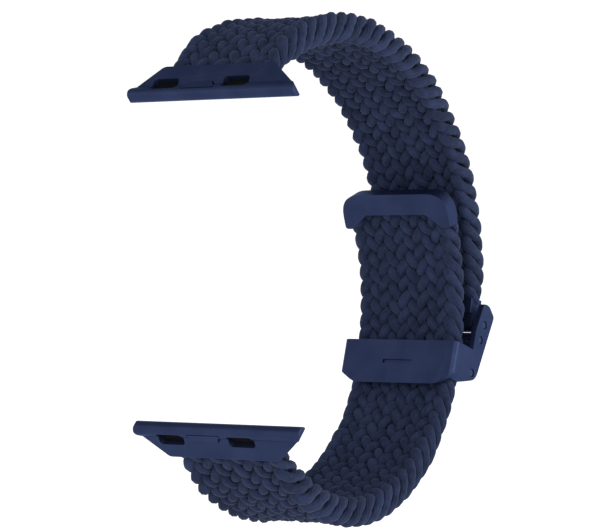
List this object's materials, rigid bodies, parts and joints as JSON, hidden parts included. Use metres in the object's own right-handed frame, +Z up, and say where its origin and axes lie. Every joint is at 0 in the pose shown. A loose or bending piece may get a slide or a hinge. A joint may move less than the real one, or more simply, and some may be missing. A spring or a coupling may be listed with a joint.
{
  "type": "braided watch band",
  "caption": "Braided textile wrist band with two slide-in connectors and an adjustable lever clasp that the capped tail slides through.",
  "frame": {"origin": "midway between the two connectors' rails, at the centre of the watch case's place", "axes": "+X across the wrist to the clasp, +Y across the band's width, +Z up to the upper connector"},
  "size_m": [0.0549, 0.0246, 0.0646],
  "materials": {
    "navy_metal": "satin",
    "navy_pin": "satin",
    "navy_braid": "matte",
    "black_pad": "matte",
    "bare_steel": "satin"
  },
  "bodies": {
    "upper_band": {"upper_strap": "navy_braid", "upper_ferrule": "navy_metal", "upper_lug_body": "navy_metal", "upper_lug_pad_front": "black_pad", "upper_lug_pad_back": "black_pad", "upper_latch_spring": "bare_steel", "upper_anchor_pin": "bare_steel"},
    "upper_latch": {"upper_latch_button": "navy_metal"},
    "clasp": {"clasp_frame": "navy_metal", "strap_pin": "navy_pin", "lever_pin": "navy_pin", "guide_pin": "navy_pin"},
    "lever": {"cam_lever": "navy_metal"},
    "lower_band": {"lower_strap": "navy_braid", "tail_cap_inner": "navy_metal", "tail_cap_outer": "navy_metal", "tail_cap_rivet_front": "navy_pin", "tail_cap_rivet_back": "navy_pin", "lower_lug_body": "navy_metal", "lower_lug_pad_front": "black_pad", "lower_lug_pad_back": "black_pad", "lower_latch_spring": "bare_steel", "lower_anchor_pin": "bare_steel"},
    "lower_latch": {"lower_latch_button": "navy_metal"}
  },
  "joints": [
    {"name": "clasp_swing", "type": "hinge", "parent": "upper_band", "child": "clasp", "pos_m": [0.05164, 0, -0.00854], "axis": [0, 1, 0], "range_deg": [-25, 2]},
    {"name": "strap_slide", "type": "hinge", "parent": "clasp", "child": "lower_band", "pos_m": [0.01727, 0, -0.00535], "axis": [0, 1, 0], "range_deg": [-10, 24]},
    {"name": "lever_flip", "type": "hinge", "parent": "clasp", "child": "lever", "pos_m": [0.0505, 0, -0.01055], "axis": [0, -1, 0], "range_deg": [0, 95]},
    {"name": "upper_latch_press", "type": "slide", "parent": "upper_band", "child": "upper_latch", "axis": [0.6947, 0, -0.7193], "range_m": [0, 0.0004], "stiffness_N_per_m": 400, "springref_m": -0.0004, "deforming": ["upper_latch_spring"]},
    {"name": "lower_latch_press", "type": "slide", "parent": "lower_band", "child": "lower_latch", "axis": [0.6947, 0, 0.7193], "range_m": [0, 0.0004], "stiffness_N_per_m": 400, "springref_m": -0.0004, "deforming": ["lower_latch_spring"]}
  ]
}
